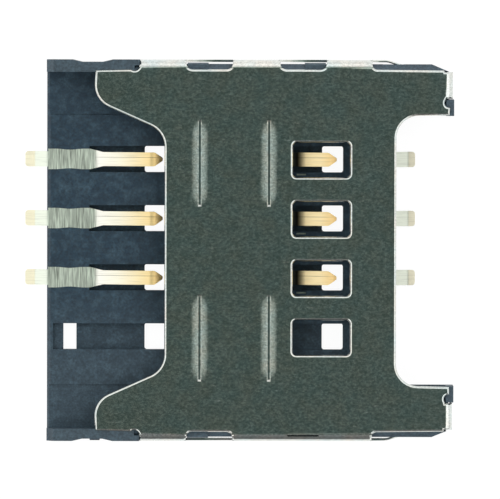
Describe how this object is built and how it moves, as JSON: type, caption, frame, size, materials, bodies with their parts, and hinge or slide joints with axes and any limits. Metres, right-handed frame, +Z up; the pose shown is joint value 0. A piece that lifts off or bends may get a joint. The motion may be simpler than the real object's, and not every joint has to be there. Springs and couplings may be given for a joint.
{
  "type": "sim card socket",
  "caption": "Low board-mount card socket: a moulded base with sprung contacts under a folded sheet cover; a small card slides in between them at one end and stops against two posts.",
  "frame": {"origin": "the middle of the housing's underside, on the circuit board", "axes": "+X is the way the card goes in, +Y across the card, +Z up from the board"},
  "size_m": [0.0184, 0.0164, 0.0015],
  "materials": {
    "moulded_plastic": "matte moulded",
    "stainless_sheet": "rolled bright",
    "gold_plate": "plated"
  },
  "bodies": {
    "root": {"housing": "moulded_plastic", "cover": "stainless_sheet", "contact_c1_supply": "gold_plate", "contact_c2_reset": "gold_plate", "contact_c3_clock": "gold_plate", "contact_c5_ground": "gold_plate", "contact_c6_program": "gold_plate", "contact_c7_data": "gold_plate"}
  },
  "joints": []
}
